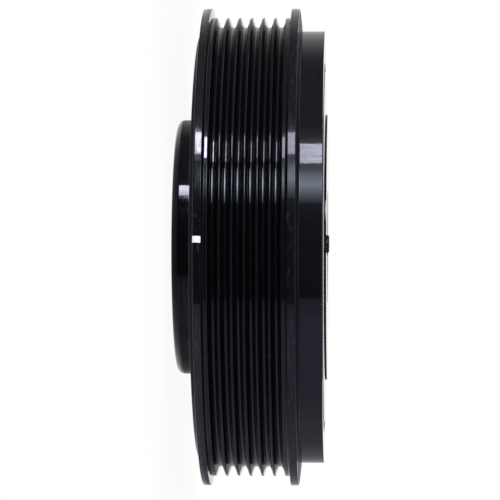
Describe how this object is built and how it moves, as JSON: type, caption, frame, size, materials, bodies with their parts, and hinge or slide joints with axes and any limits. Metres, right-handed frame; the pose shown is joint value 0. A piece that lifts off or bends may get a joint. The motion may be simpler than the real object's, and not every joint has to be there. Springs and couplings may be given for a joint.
{
  "type": "harmonic balancer",
  "caption": "Crankshaft harmonic balancer: a keyed hub carries a ribbed belt pulley and inertia ring through a bonded rubber ring.",
  "frame": {"origin": "on the crankshaft axis, in the flat face of the hub's nose that the balancer stands on", "axes": "+Z along the crankshaft axis, from the nose to the crankshaft side; the timing notch and the dowel face -Y"},
  "size_m": [0.1438, 0.1438, 0.0458],
  "materials": {
    "hub_paint": "gloss black paint over cast iron",
    "damper_rubber": "matt black moulded rubber",
    "pulley_paint": "gloss black paint over cast iron",
    "dowel_steel": "blackened steel"
  },
  "bodies": {
    "root": {"hub": "hub_paint", "rubber_ring": "damper_rubber", "pulley": "pulley_paint", "dowel": "dowel_steel"}
  },
  "joints": []
}
